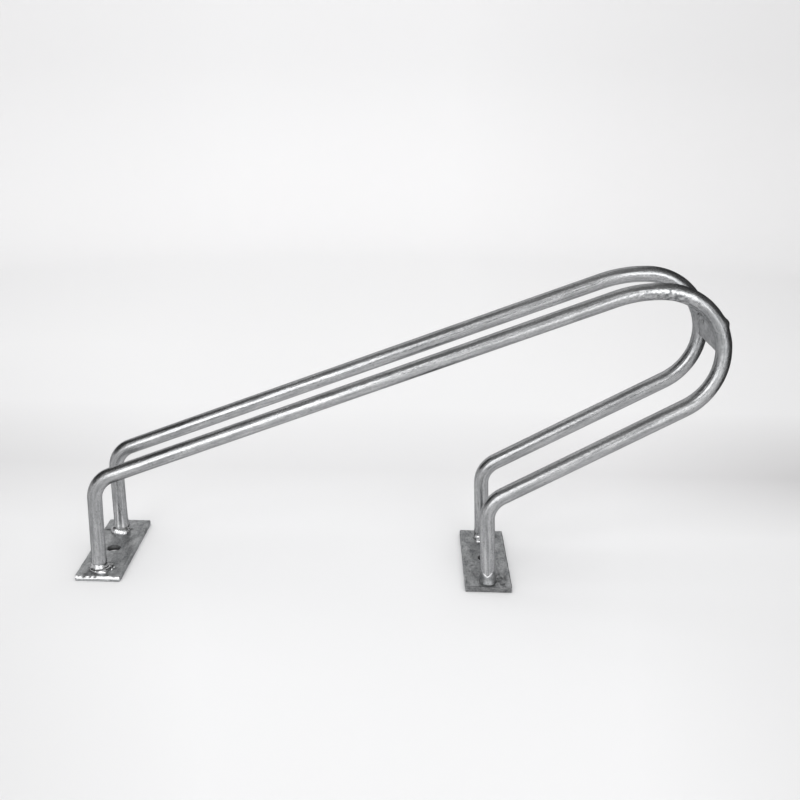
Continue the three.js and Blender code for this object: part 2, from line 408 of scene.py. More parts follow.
# %% Bar finish
def bar_finish():
    """Bright zinc on drawn bar: streaks along the bar, faint patches, flecks and a few dark pits. The
    attribute "dull" makes it darker and rougher, "lumpy" blotched, and a third attribute makes the zinc
    runs near white: a painted highlight on runs that are also raised in the shape."""
    name = "galvanised_bar"
    finishes[name], tree, shader = start_material(name)
    dull, shine, lumpy = (reading(tree, label) for label in ("dull", "shine", "lumpy"))
    seen = zinc_patterns(tree, reading(tree, "grain", "Vector"), 2, bar_patterns)
    tone = weighted(tree, seen, bar_tone)
    bright, matt, run = (mixed(tree, tone, *bar_greys[grey]) for grey in ("bright", "matt", "run"))
    spot = mixed(tree, spread(tree, seen["blotches"], 0, 1, *blotch_range), *bar_greys["spot"])
    zinc = mixed(tree, lumpy, mixed(tree, dull, bright, matt), spot)
    pitted = maths(tree, "ADD", seen["pits"], spread(tree, lumpy, 0, pits_on_lumps, 0, 1))
    zinc = mixed(tree, spread(tree, pitted, 0, pit_share, *pit_range), zinc, pit_grey)
    duller = spread(tree, dull, 0, dull_roughness, 0, 1)
    thicker = spread(tree, shine, 0, run_roughness, 0, 1)
    rough = maths(tree, "ADD", weighted(tree, seen, bar_roughness), duller, thicker)
    lumps = maths(tree, "MULTIPLY", spread(tree, seen["blotches"], 0, 1), lumpy)
    height = maths(tree, "ADD", weighted(tree, seen, bar_height), lumps)
    # Painted highlight: the zinc runs are mixed towards near white.
    colour = mixed(tree, shine, zinc, run)
    finish_zinc(name, tree, shader, (colour, rough), (*bar_bump, height), zinc_metallic, zinc_edge_tint)


bar_finish()

# %% Patterns and greys of the plates
plate_patterns = {
    "mottles": (130, 4, 0.55, 0.5),
    "specks": (480, 3, 0.6, 0.5),
    "clouds": (55, 2, 0.5, 0.5),
    "grain": (1500, 3, 0.5, 1),
}
plate_tone = [
    ("mottles", 0, 0.4, 0.37, 0.63),
    ("clouds", 0, 0.25, 0.34, 0.66),
    ("specks", 0, 0.35, 0.38, 0.62),
]
plate_roughness = [("mottles", 0.24, 0.18), ("clouds", 0.18, 0.24)]
plate_height = [("grain", 0, 0.25), ("mottles", 0, 1), ("specks", 0, 0.6)]
plate_greys = {
    "clean": ((0.18, 0.187, 0.192), (0.60, 0.607, 0.612)),
    # Near black: painted shade in the anchor hole, round the feet, on the crown plate's near end and at the
    # bridge plate's upper end.
    "sooty": ((0.02, 0.02, 0.02), (0.06, 0.06, 0.06)),
    # Near white: thick zinc, and a painted highlight on the entry plate's sheared end.
    "thick": ((0.66, 0.665, 0.67), (0.84, 0.845, 0.85)),
}
soot_roughness = 0.3
thick_roughness = -0.14
plate_bump = (0.6, 0.3 * MM)
print("patterns of the plates:", sorted(plate_patterns))


# %% Plate finish
def plate_finish():
    """Dull zinc on flat bar: dark and light mottles of a few millimetres and a rough grain. One attribute
    is painted shade: it darkens the anchor hole and its far rim, spots round the feet, the crown plate's
    near end and mottles at the bridge plate's upper end. Another lightens thick zinc and carries a painted
    highlight on the entry plate's sheared end."""
    name = "galvanised_plate"
    finishes[name], tree, shader = start_material(name)
    soot, shine = (reading(tree, label) for label in ("soot", "shine"))
    seen = zinc_patterns(tree, object_place(tree), 1, plate_patterns)
    tone = weighted(tree, seen, plate_tone)
    clean, sooty, thick = (mixed(tree, tone, *plate_greys[grey]) for grey in ("clean", "sooty", "thick"))
    # Painted shade darkens the zinc towards near black; thick zinc and the painted highlight lighten it.
    colour = mixed(tree, shine, mixed(tree, soot, clean, sooty), thick)
    shade_roughening = spread(tree, soot, 0, soot_roughness, 0, 1)
    smoother = spread(tree, shine, 0, thick_roughness, 0, 1)
    rough = maths(tree, "ADD", weighted(tree, seen, plate_roughness), shade_roughening, smoother)
    height = weighted(tree, seen, plate_height)
    finish_zinc(name, tree, shader, (colour, rough), (*plate_bump, height), zinc_metallic, zinc_edge_tint)


plate_finish()

# %% Weld finish
weld_patterns = {"patches": (260, 3, 0.5, 1), "grain": (1800, 2, 0.5, 1)}
weld_greys = {
    "bright": ((0.40, 0.405, 0.41), (0.58, 0.585, 0.59)),
    "matt": ((0.14, 0.147, 0.152), (0.30, 0.306, 0.312)),
    "white": ((0.78, 0.785, 0.79), (0.88, 0.885, 0.89)),
}
weld_roughness = (0.28, 0.2)
matt_roughness = 0.3
white_roughness = 0.12
weld_bump = (0.2, 0.1 * MM)
weld_metallic = 1.0


def weld_finish():
    """Thick zinc over a weld bead, nearly smooth. The attribute "dull" runs from -1, nearly white, to 1,
    matt. Its white end is a painted highlight: on the collar's raised rim, on some lumps, and in part on
    the crescent."""
    name = "galvanised_weld"
    finishes[name], tree, shader = start_material(name)
    dull = reading(tree, "dull")
    seen = zinc_patterns(tree, object_place(tree), 1, weld_patterns)
    tone = spread(tree, seen["patches"], 0, 1)
    bright, matt, white = (mixed(tree, tone, *weld_greys[grey]) for grey in ("bright", "matt", "white"))
    colour = mixed(tree, spread(tree, dull, 0, 1, 0, 1), bright, matt)
    colour = mixed(tree, spread(tree, dull, 1, 0, -1, 0), colour, white)
    at_matt = spread(tree, dull, 0, matt_roughness, 0, 1)
    at_white = spread(tree, dull, white_roughness, 0, -1, 0)
    rough = maths(tree, "ADD", spread(tree, seen["patches"], *weld_roughness), at_matt, at_white)
    bump = (*weld_bump, seen["grain"])
    finish_zinc(name, tree, shader, (colour, rough), bump, weld_metallic, bead_edge_tint)


weld_finish()

# %% [markdown]
# ## The route of a bar
#
# A bar bender thinks in feeds and bends: feed a length, turn about a former,
# feed again. The route is kept in that form, in the hoop's own upright plane.
# A feed is a straight line, a bend is an arc whose centre lies one former
# radius to the side of the bar. A Blender curve with bevel would be quicker to
# draw, but this way every point knows how far along the bar it is, and the
# zinc's streaks can follow that.

# %% Feeds and bends
def takes(radius, turn):
    """The length that a bend takes from the straight on each side of its corner: radius * tan(turn / 2)."""
    return radius * np.tan(np.radians(abs(turn)) / 2)


def run_to_meet(point, heading, target, target_heading):
    """How far to run from a point before the line through the target is reached."""
    own, other = np.radians([heading, target_heading])
    dx, dz = target - point
    return (dx * np.sin(other) - dz * np.cos(other)) / np.sin(other - own)


def direction(heading):
    """The unit step along a heading, counted from +X towards +Z."""
    angle = np.radians(heading)
    return np.array([np.cos(angle), np.sin(angle)])


class Route:
    """A pen that feeds and bends. Each stretch is (length, start or centre, heading, radius, side)."""

    def __init__(self, start, heading):
        self.at = np.array(start)
        self.heading = heading
        self.stretches = []

    def feed(self, length):
        self.stretches.append((length, self.at, self.heading, 0.0, 0))
        self.at = self.at + length * direction(self.heading)

    def bend(self, radius, turn):
        side = np.sign(turn)
        centre = self.at + side * radius * direction(self.heading - 90)
        self.stretches.append((radius * np.radians(abs(turn)), centre, self.heading, radius, side))
        self.heading = self.heading - turn
        self.at = centre + side * radius * direction(self.heading + 90)
        return centre


print("a square bend of the leg takes %.1f mm" % (takes(leg_bend, 90) / MM))

# %% The hoop's route
upright = 90
entry_turn = upright - upper_slope
lower_heading = lower_slope - 180
crown_turn = upper_slope - lead_in_turn - lower_heading
crown_leg_turn = lower_slope - upright - crown_rake
crown_leg_heading = upright + crown_rake
crown_foot = np.array([foot_spacing, leg_seat])

route = Route((0.0, leg_seat), upright)
route.feed(entry_rise - leg_seat - takes(leg_bend, entry_turn))
route.bend(leg_bend, entry_turn)
route.feed(upper_run - takes(leg_bend, entry_turn))
route.bend(lead_in_radius, lead_in_turn)
crown_centre = route.bend(crown_radius, crown_turn)
lower_run = run_to_meet(route.at, route.heading, crown_foot, crown_leg_heading)
route.feed(lower_run - takes(leg_bend, crown_leg_turn))
route.bend(leg_bend, crown_leg_turn)
route.feed(np.linalg.norm(crown_foot - route.at))
route_length = sum(stretch[0] for stretch in route.stretches)
print("bar length %.1f mm, crown centre %s mm" % (route_length / MM, (crown_centre / MM).round(1)))


# %% Places along the route
def along_route(distance):
    """Place (x, z) and heading at each distance along the bar, for a whole array at once."""
    place = np.zeros((len(distance), 2))
    heading = np.zeros(len(distance))
    passed = 0.0
    for length, origin, start_heading, radius, side in route.stretches:
        here = (distance >= passed) & (distance <= passed + length)
        travelled = distance[here] - passed
        turned = np.degrees(travelled / radius) if radius else 0 * travelled
        heading[here] = start_heading - side * turned
        if radius:
            place[here] = origin + side * radius * direction(heading[here] + 90).T
        else:
            place[here] = origin + travelled[:, None] * direction(start_heading)
        passed += length
    return place, heading


print("half way along, the bar heads %.1f degrees up" % along_route(np.array([route_length / 2]))[1][0])

# %% [markdown]
# ## The leaning hoops
#
# The two hoops aren't parallel. They stand further apart at the crown's feet
# than at the entry, and closest at the bridge. Turning two copies of one hoop
# would do it only roughly. Here half the spacing grows evenly with x and with
# height, so each hoop still lies in one plane, and that plane leans a little.
# Rings of points are set square to the bar in it.

# %% Hoop frame
spread_along = (crown_spacing - entry_spacing) / foot_spacing
bridge_reach = np.sqrt(crown_radius**2 - (bridge_height / 2) ** 2)
bridge_middle = crown_centre + bridge_reach * direction(bridge_angle)
bridge_rise = bridge_middle[1] - plate_thickness
spread_up = (bridge_spacing - entry_spacing - spread_along * bridge_middle[0]) / bridge_rise


def half_spacing(x, z):
    """Half the distance between the hoops: it grows evenly along the rack and up from the plates."""
    return (entry_spacing + spread_along * x + spread_up * (z - plate_thickness)) / 2


def hoop_frame(distance, side):
    """Centre, tangent, in-plane normal and cross-plane normal at each distance along one hoop."""
    place, heading = along_route(distance)
    x, z = place.T
    step = direction(heading)
    centre = np.stack([x, side * half_spacing(x, z), z], -1) + route_start
    tangent = np.stack([step[0], side * (spread_along * step[0] + spread_up * step[1]) / 2, step[1]], -1)
    tangent = tangent / np.linalg.norm(tangent, axis=-1, keepdims=True)
    across = np.array([-side * spread_along / 2, 1.0, -side * spread_up / 2])
    across = across / np.linalg.norm(across)
    inward = np.cross(across, tangent)
    return centre, tangent, inward, np.broadcast_to(across, centre.shape)


print("the hoops are %.1f mm apart at the bridge" % (2 * half_spacing(*bridge_middle) / MM))

# %% [markdown]
# ## Where the zinc on a bar changes
#
# Fresh from the bath the coat is bright, but heat and drainage leave their
# marks. It is dull round the bridge welds and the feet, blotched on the crown of
# the right hoop, and runs come down the legs, raised in the shape and painted
# near white as a painted highlight. Painting masks by hand would do, but each
# mark is only a place along the bar, an angle round it and a width, so it is a
# soft hill at that place. Angles are counted in degrees from the inner side of
# the bend.

# %% Marks along the bar
rough_spot_place = 728 * MM
rough_spot_length = 32 * MM
rough_flank_angle = 210
rough_flank_end = 0.8
flank_floor = 0.3
mottle_shares = (0.1, 0.5, 0.55)
bridge_mottle = (810 * MM, 35 * MM)
bridge_dull = (805 * MM, 45 * MM)
foot_dull_share = 0.3
entry_dull_end = (70 * MM, 130 * MM)
crown_dull_start = (100 * MM, 50 * MM)
blotch_shares = (0.05, 0.9, 0.7)
lump_blotch = (800 * MM, 12 * MM, 200, 0.35)
zinc_runs = [
    (1, False, 262, 52, 1.2, 1.0),
    (1, False, 295, 34, 1.4, 1.0),
    (-1, True, 292, 60, 1.6, 0.25),
    (-1, True, 255, 40, 1.4, 0.2),
    (1, True, 250, 30, 1.0, 0.5),
    (-1, False, 250, 30, 1.3, 0.3),
]
print(len(zinc_runs), "bright runs, rough spot at %.0f mm" % (rough_spot_place / MM))


# %% Lumpy zinc
def rough_flank(angle):
    """1 on the right hoop's lower outer flank and 0 opposite: the eased sine from the flank's angle."""
    return ease(np.sin(angle - np.radians(rough_flank_angle)), 0.0, rough_flank_end)


def rough_spot(distance, side):
    """The rough stretch on the crown of the right hoop, 1 in its middle."""
    return (side < 0) * hill(distance - rough_spot_place, rough_spot_length)


def mottled_share(distance, angle, side):
    """How lumpy the zinc is: faintly everywhere, more on the rough spot and at the bridge."""
    everywhere, on_spot, at_bridge = mottle_shares
    flank = flank_floor + (1 - flank_floor) * rough_flank(angle)
    bridge = hill(distance - bridge_mottle[0], bridge_mottle[1])
    return np.clip(everywhere + on_spot * rough_spot(distance, side) * flank + at_bridge * bridge, 0, 1)


print("lumpy in the rough spot:", mottled_share(rough_spot_place, np.radians(300), -1).round(2))


# %% Dull, blotched and bright zinc
def dull_share(distance):
    """How dull the zinc is: 1 at the bridge weld and some at both feet."""
    at_bridge = hill(distance - bridge_dull[0], bridge_dull[1])
    at_entry = 1 - ease(distance, *entry_dull_end)
    at_crown = ease(distance, *(route_length - place for place in crown_dull_start))
    return np.clip(at_bridge + foot_dull_share * (at_entry + at_crown), 0, 1)


def lumpy_share(distance, angle, side):
    """How blotched the zinc is: a little everywhere, most on the rough spot's flank and round the lump."""
    everywhere, on_spot, on_lump = blotch_shares
    place, length, degrees, width = lump_blotch
    spot = rough_spot(distance, side) * rough_flank(angle)
    round_lump = (side < 0) * hill(distance - place, length)
    round_lump = round_lump * hill(np.sin((angle - np.radians(degrees)) / 2), width)
    return np.clip(everywhere + on_spot * spot + on_lump * round_lump, 0, 1)


def shine_share(distance, angle, side):
    """Runs of zinc down the legs, painted near white as a painted highlight: lines at an angle round the
    bar that narrow and fade out upwards.
    Each is (hoop side, at the crown's foot, degrees, reach, width, strength), lengths in millimetres."""
    total = 0 * distance
    for foot_side, at_crown, degrees, reach, width, strength in zinc_runs:
        up = (route_length - distance if at_crown else distance) / MM
        narrowing = 0.5 + 0.5 * (1 - ease(up, 0, reach))
        line = hill(angle_from(angle, degrees) * bar_radius / MM, width * narrowing)
        total = total + strength * (foot_side == side) * line * (1 - ease(up, 0.5 * reach, reach))
    return np.clip(total, 0, 1)


print("dull at the bridge:", dull_share(bridge_dull[0]).round(2))

# %% [markdown]
# ## Zinc on the bar
#
# The coat is thin but not even. It has long shallow waves along the bar, a
# finer grain across them, a soft flare near each foot, and it hangs thicker
# under the lying bars. One lump stands on the crown of the right hoop. A bump
# in the finish would not show on the outline, so the height of all that is
# added to the bar's radius.

# %% Sizes of the zinc
wave_height = 0.055 * MM
wave_cell = np.array([9, 9, 34]) * MM
grain_height = 0.025 * MM
grain_cell = np.array([3.2, 3.2, 9]) * MM
mottle_height = 0.2 * MM
mottle_cell = np.array([2.6, 2.6, 3.6]) * MM
hoop_seeds = {-1: 10, 1: 20}
flare_heights = {(-1, False): 0.7 * MM, (1, False): 1.5 * MM, (-1, True): 0.1 * MM, (1, True): 0.7 * MM}
flare_fall = 4.5 * MM
flare_top = 8 * MM
run_height = 0.3 * MM
upper_sag = 0.9 * MM
lower_sag = 1.8 * MM
sag_change = (840 * MM, 900 * MM)
crown_lump_place = (795 * MM, 190)
crown_lump_height = 2.0 * MM
crown_lump_length = 4.0 * MM
crown_lump_width = 5.6 * MM
print("the zinc hangs %.1f and %.1f mm under the bars" % (upper_sag / MM, lower_sag / MM))


# %% Height of the zinc
def underside(distance, tangent, spoke):
    """Extra thickness under a lying bar: full * (1 - z of the spoke) / 2 * level share of the tangent. It
    moves the round section down as a whole, is more on the lower bar and nothing on the upright legs."""
    full = upper_sag + (lower_sag - upper_sag) * ease(distance, *sag_change)
    level = np.linalg.norm(tangent[:, :2], axis=-1)
    return (full * level)[:, None] * (1 - spoke[..., 2]) / 2


def bar_relief(distance, angle, local, height, side):
    """Zinc thickness above the bare bar, in metres, on the grid of distance and angle."""
    seed = hoop_seeds[side]
    waves = wave_height * unevenness(local, wave_cell, seed)
    grain = grain_height * unevenness(local, grain_cell, seed + 1)
    lumpy = mottled_share(distance, angle, side)
    mottles = mottle_height * lumpy * unevenness(local, mottle_cell, seed + 2)
    at_crown = distance > route_length / 2
    full_flare = np.where(at_crown, flare_heights[side, True], flare_heights[side, False])
    flare = full_flare * np.exp(-np.maximum(height - plate_thickness - flare_top, 0) / flare_fall)
    lump_distance, lump_angle = crown_lump_place
    off = bar_radius * angle_from(angle, lump_angle)
    crown_lump = crown_lump_height * hill(distance - lump_distance, crown_lump_length)
    crown_lump = crown_lump * hill(off, crown_lump_width) * (side < 0)
    runs = run_height * shine_share(distance, angle, side)
    return waves + grain + mottles + flare + runs + crown_lump


print("the lump stands %.0f mm along the right hoop" % (crown_lump_place[0] / MM))

# %% Hoop surface
bar_step = 1.1 * MM
bar_sides = 64


def hoop_surface(side):
    """Rings of points round the bar: centre + radius * (cos * inward + sin * across). The second grid
    holds the same points on the bar laid straight."""
    start = plate_thickness - leg_seat
    distance = np.linspace(start, route_length - start, int(route_length / bar_step))
    angle = np.arange(bar_sides) / bar_sides * 2 * np.pi
    centre, tangent, inward, across = hoop_frame(distance, side)
    ring = np.stack([np.cos(angle), np.sin(angle)], -1)
    spoke = ring[None, :, :1] * inward[:, None] + ring[None, :, 1:] * across[:, None]
    shape = (len(distance), bar_sides)
    laid_ring = np.broadcast_to(ring * bar_radius, shape + (2,))
    laid_length = np.broadcast_to(distance[:, None, None], shape + (1,))
    local = np.concatenate([laid_ring, laid_length], -1)
    relief = bar_relief(distance[:, None], angle[None], local, centre[:, None, 2], side)
    relief = relief + underside(distance, tangent, spoke)
    points = centre[:, None] + (bar_radius + relief)[..., None] * spoke
    return points, local


print("a hoop has", len(hoop_surface(1)[0]), "rings of", bar_sides, "points")


# %% The two hoops
def make_hoop(name, side):
    """One hoop as a closed tube, with the straightened bar's own coordinates kept for its finish."""
    points, local = hoop_surface(side)
    ends = np.stack([local[0].mean(0), local[-1].mean(0)])
    grain = np.concatenate([local.reshape(-1, 3), ends])
    distance = grain[:, 2]
    angle = np.arctan2(grain[:, 1], grain[:, 0])
    shares = {"dull": dull_share(distance)}
    shares["shine"] = shine_share(distance, angle, side)
    shares["lumpy"] = lumpy_share(distance, angle, side)
    make_piece(name, [grid_solid(points)], "galvanised_bar", grain=grain, **shares)


for word, side in hoop_sides.items():
    make_hoop(f"{word}_hoop", side)

# %% [markdown]
# ## Foot plates
#
# Each plate is cut from flat bar and has one anchor hole. A box with a Boolean
# hole and a Bevel would have its points in the wrong places for the zinc, so
# one closed profile is carried round the hole instead: from the rim of the hole
# over the top to the edge, down the side, back under the plate and up the wall
# of the hole. The edge follows a rounded rectangle.

# %% Plate outline
plate_columns = 600
plate_corner = 1.8 * MM


def rounded_outline(half_size, radius, count):
    """Points at even steps round a rectangle with round corners, and the outward direction at each."""
    straight = 2 * (half_size - radius)
    arc = radius * np.pi / 2
    lengths = np.array([straight[1], arc, straight[0], arc, straight[1], arc, straight[0], arc])
    ends = np.cumsum(lengths)
    travelled = (np.arange(count) + 0.5) / count * ends[-1]
    stretch = np.searchsorted(ends, travelled)
    left = travelled - (ends - lengths)[stretch]
    quarter = stretch // 2
    on_arc = stretch % 2 == 1
    turn = quarter * np.pi / 2 + np.where(on_arc, left / radius, 0)
    outward = np.stack([np.cos(turn), np.sin(turn)], -1)
    corner_signs = np.array([[1, 1], [-1, 1], [-1, -1], [1, -1]])
    corner = corner_signs[quarter] * (half_size - radius)
    forward = np.stack([-np.sin(quarter * np.pi / 2), np.cos(quarter * np.pi / 2)], -1)
    back = np.where(on_arc, 0, lengths[stretch] - left)
    return corner + radius * outward - back[:, None] * forward, outward


print("a plate's outline has", plate_columns, "points")

# %% Plate profile
edge_round = 0.9 * MM
edge_crowding = 1.15
top_rows = 64
under_rows = 14
side_rows = 16
rim_rows = 7


def plate_profile():
    """Rows of the closed profile: share from hole (0) to edge (1), inset from the full edge in rounding
    radii, and height share. The rounded edges are quarter circles of the rounding radius."""
    turn = np.linspace(0, np.pi / 2, rim_rows)
    hole_turn = turn[-2::-1]
    edge = edge_round / plate_thickness
    over = 1 - (1 - np.linspace(0, 1, top_rows, endpoint=False)) ** edge_crowding
    down = 1 - edge - np.linspace(0, 1, side_rows)[1:-1] * (1 - 2 * edge)
    back = np.linspace(1, 0, under_rows)[1:]
    stretches = [
        (over, 1, 1),
        (1, 1 - np.sin(turn), 1 - edge * (1 - np.cos(turn))),
        (1, 0, down),
        (1, 1 - np.cos(turn), edge * (1 - np.sin(turn))),
        (back, 1, 0),
        (0, 1 - np.cos(hole_turn), edge * (1 - np.sin(hole_turn))),
    ]
    return np.concatenate([np.stack(np.broadcast_arrays(*stretch), -1) for stretch in stretches])


print("a plate's profile has", len(plate_profile()), "rows")


# %% Plate surface
def plate_surface(name):
    """Points between the hole's rim and the outline, row by row of the profile."""
    half_size, middle, hole, _ = plate_places(name)
    outline, outward = rounded_outline(half_size, plate_corner, plate_columns)
    outline = outline + middle
    ray = outline - hole
    ray = ray / np.linalg.norm(ray, axis=-1, keepdims=True)
    share, inset, level = plate_profile().T
    inner = hole + anchor_hole_radius * ray + edge_round * ray
    outer = outline - edge_round * outward
    flat = inner[None] + share[:, None, None] * (outer - inner)[None]
    grown = (1 - inset)[:, None, None]
    push = np.where((share == 0)[:, None, None], -grown * ray[None], grown * outward[None])
    flat = flat + edge_round * push
    height = level * plate_thickness
    points = np.concatenate([flat, np.broadcast_to(height[:, None, None], flat.shape[:2] + (1,))], -1)
    return points, share, level, outward, outline


print("a plate has", plate_surface("entry_foot_plate")[0][..., 0].size, "points")

# %% [markdown]
# ## Zinc on the foot plates
#
# Zinc builds up along the edges of a plate. The entry plate's near end was
# sheared, so its upper half leans in, and thick zinc hangs there in short drips
# with a few notches between them; its top is painted near white, a painted
# highlight. The crown plate's near end is cut under and carries painted shade.
# Sculpting could give this too. Moving the points by formula keeps the ends to
# their places and lets colour and shape share one rule.

# %% Sizes of the plate's zinc
plate_wave = 0.12 * MM
plate_wave_cell = np.array([11, 13, 11]) * MM
plate_grain = 0.07 * MM
plate_grain_cell = np.array([3.1, 3.7, 3.1]) * MM
edge_swell = 0.28 * MM
edge_swell_width = 1.6 * MM
edge_swell_cell = 7 * MM
edge_wave = 0.16 * MM
edge_wave_cell = 5 * MM
sheared_share = 0.5
shear_slant = 1.8 * MM
drip_depth = 0.9 * MM
drip_cell = 2.6 * MM
drip_start = 0.25
drip_levels = (0.55, 0.95)
undercut = 0.7 * MM
notch_depth = 0.9 * MM
notch_levels = (0.6, 0.85)
end_notches = [(9.5, 1.8), (16.6, 0.7), (22.6, 1.4)]
near_end_facing = (0.7, 1.0)
swell_evenness = 0.6
edge_wave_start = 0.9
plate_seeds = {"entry_foot_plate": 31, "crown_foot_plate": 41}
print("the sheared end leans in by %.1f mm" % (shear_slant / MM))


# %% Plate relief
def near_end(outward):
    """1 where the outline faces -Y, the end nearest the camera, and 0 on the other sides."""
    return ease(-outward[:, 1], *near_end_facing)[None]


def notched(points, level, name):
    """The notches in the upper edge of the sheared end, 1 in the middle of each (place, width) in mm."""
    along = points[..., 0] - node_box(name)[0][0]
    total = sum(hill(along - place * MM, width * MM) for place, width in end_notches)
    return np.clip(total, 0, 1) * ease(level, *notch_levels)[:, None]


def plate_relief(points, share, level, outward, outline, name, seed):
    """Moves the plate's points by the zinc's waves, the swell along the edges and the cut near end."""
    reach = np.linalg.norm(points[..., :2] - outline[None], axis=-1)
    waves = plate_wave * unevenness(points, plate_wave_cell, seed)
    waves += plate_grain * unevenness(points, plate_grain_cell, seed + 1)
    swell = edge_swell * hill(reach - edge_swell_width, edge_swell_width)
    swell *= swell_evenness + (1 - swell_evenness) * unevenness(points, edge_swell_cell, seed + 2)
    moved = points.copy()
    moved[..., 2] += np.where((level > 0.5)[:, None], waves + swell, 0) * (share > 0)[:, None]
    if name == "entry_foot_plate":
        sheared = np.clip((level - sheared_share) / (1 - sheared_share), 0, 1)[:, None]
        drips = np.maximum(unevenness(points * (1, 0, 0) + 0.5, drip_cell, seed + 4) - drip_start, 0)
        push = -shear_slant * sheared - drip_depth * drips * ease(level, *drip_levels)[:, None]
        push = push - notch_depth * notched(points, level, name)
    else:
        push = -undercut * (1 - level)[:, None]
    at_edge = (share == 1)[:, None]
    wavy = edge_wave * unevenness(points, edge_wave_cell, seed + 3) * (share > edge_wave_start)[:, None]
    moved[..., :2] += (push * near_end(outward) * at_edge + wavy)[..., None] * outward[None]
    moved[..., 2] = np.maximum(moved[..., 2], 0)
    return moved


print("the sheared end has", len(end_notches), "notches")

# %% Spots on the plates
# Painted highlight on the top of the entry plate's sheared end.
end_shine = 0.8
# Painted shade on the crown plate's undercut near end.
crown_end_soot = 0.5
# Painted shade on the wall of the anchor hole and on its far rim.
hole_soot_share = 0.8
hole_soot_width = 1.2 * MM
hole_rim_facing = (-0.2, 0.5)
hole_wall_depth = (0.0, 0.15)
shine_levels = (sheared_share - 0.04, sheared_share + 0.06)
# Painted shade: dark spots round the feet, where the welds meet the plate.
soot_spots = {
    "entry_foot_plate": [
        (-16, 45, 4, 2.5, 0.8), (11, 48, 3, 2.5, 0.7), (11, -52, 3, 5, 0.5),
        (7, -63, 4, 2, 0.5), (-8, -62, 4, 3, 0.3), (19, -55, 4, 3, 0.35),
        (12, -42, 3, 2.5, 0.35), (-12, -69, 2.5, 1.5, 0.5),
    ],
    "crown_foot_plate": [
        (15, 52, 2.5, 4, 0.7), (19, -52, 2.2, 7, 0.6), (12, -60, 3, 4, 0.5),
        (-14, -45, 3, 9, 0.25), (-10, -57, 3, 4, 0.35), (-16, -24, 1.6, 1.8, 0.45),
        (13, -42, 1.6, 4, 0.5), (-14, -14, 1.5, 1.5, 0.4),
    ],
}
shine_spots = {
    "entry_foot_plate": [(19, -5, 5, 12, 0.16), (6, 28, 7, 4, 0.14)],
    "crown_foot_plate": [
        (-15, -17, 1.5, 2.2, 0.6), (-18, -22, 1.2, 1.8, 0.5), (-14.5, -27, 1.4, 2.5, 0.45),
        (-18, -33, 1.3, 2.2, 0.5), (-19, -42, 1.5, 2.5, 0.4), (10, -73, 6, 1.2, 0.4),
        (17, -77, 3, 1, 0.4),
    ],
}
print("dark spots:", {name: len(spots) for name, spots in soot_spots.items()})


# %% Soot and shine
def spotted(points, name, spots):
    """The sum of soft round spots, each (x from the legs, y, width, length) in mm and its strength."""
    x_from_legs = points[..., 0] - plate_places(name)[3]
    total = np.zeros(points.shape[:2])
    for x, y, width, length, strength in spots[name]:
        across = hill(x_from_legs - x * MM, width * MM)
        total += strength * across * hill(points[..., 1] - y * MM, length * MM)
    return total


def plate_soot(points, share, level, outward, name):
    """Painted shade: the wall and the far rim of the hole, spots round the feet, and the crown plate's end.
    """
    from_hole = points[..., :2] - plate_places(name)[2]
    reach = np.linalg.norm(from_hole, axis=-1)
    rim = hill(reach - anchor_hole_radius, hole_soot_width)
    rim = rim * ease(from_hole[..., 1] / reach, *hole_rim_facing)
    wall = (share == 0) * ease(1 - level, *hole_wall_depth)
    end = crown_end_soot * (name == "crown_foot_plate") * (share == 1)[:, None] * near_end(outward)
    return np.clip(wall[:, None] + hole_soot_share * rim + end + spotted(points, name, soot_spots), 0, 1)


def plate_shine(points, share, level, outward, name):
    """Thick zinc: soft lighter spots, and a painted highlight on the top of the entry plate's sheared end
    between its notches.
    """
    upper = ease(level, *shine_levels) * (share == 1) * (name == "entry_foot_plate")
    end = end_shine * upper[:, None] * near_end(outward) * (1 - notched(points, level, name))
    return np.clip(end + spotted(points, name, shine_spots), 0, 1)


print("thick zinc brightens the sheared end by", end_shine)

# %% The two foot plates
for name, seed in plate_seeds.items():
    points, share, level, outward, outline = plate_surface(name)
    soot = plate_soot(points, share, level, outward, name).ravel()
    shine = plate_shine(points, share, level, outward, name).ravel()
    points = plate_relief(points, share, level, outward, outline, name, seed)
    make_piece(name, [grid_solid(points, ring=True)], "galvanised_plate", soot=soot, shine=shine)

# %% [markdown]
# ## Bridge plate
#
# A short piece of flat bar stands between the hoops at the crown. Its rounded
# section is carried across, and its ends stop where the bars' surfaces are, so
# each end is hollowed to the bar as a welder would grind it. Cutting a box with
# the bars would give the same hollow with untidy faces.

# %% Sizes of the bridge surface
bridge_columns = 96
bridge_rows = 120
bridge_edge = 1.0 * MM
bridge_wave = 0.1 * MM
bridge_wave_cell = 6 * MM
bridge_sunk = 0.2 * MM
bridge_shine = 0.14
# Painted shade in mottles at the bridge plate's upper end, towards the far hoop.
bridge_soot = 1.6
bridge_soot_cell = 2.4 * MM
bridge_soot_rise = (1 * MM, 6 * MM)
bridge_soot_side = (8 * MM, 16 * MM)
bridge_seed = 51
radial = direction(bridge_angle)
upward = direction(bridge_angle + 90)
print("the bridge plate leans by", bridge_angle, "degrees")


# %% Bridge surface
def bar_face(place):
    """Half the gap between the bars at (x, z): half the spacing less the half chord of the bar there."""
    offset = np.linalg.norm(place - crown_centre, axis=-1) - crown_radius
    return half_spacing(*place.T) - np.sqrt(bar_radius**2 - offset**2)


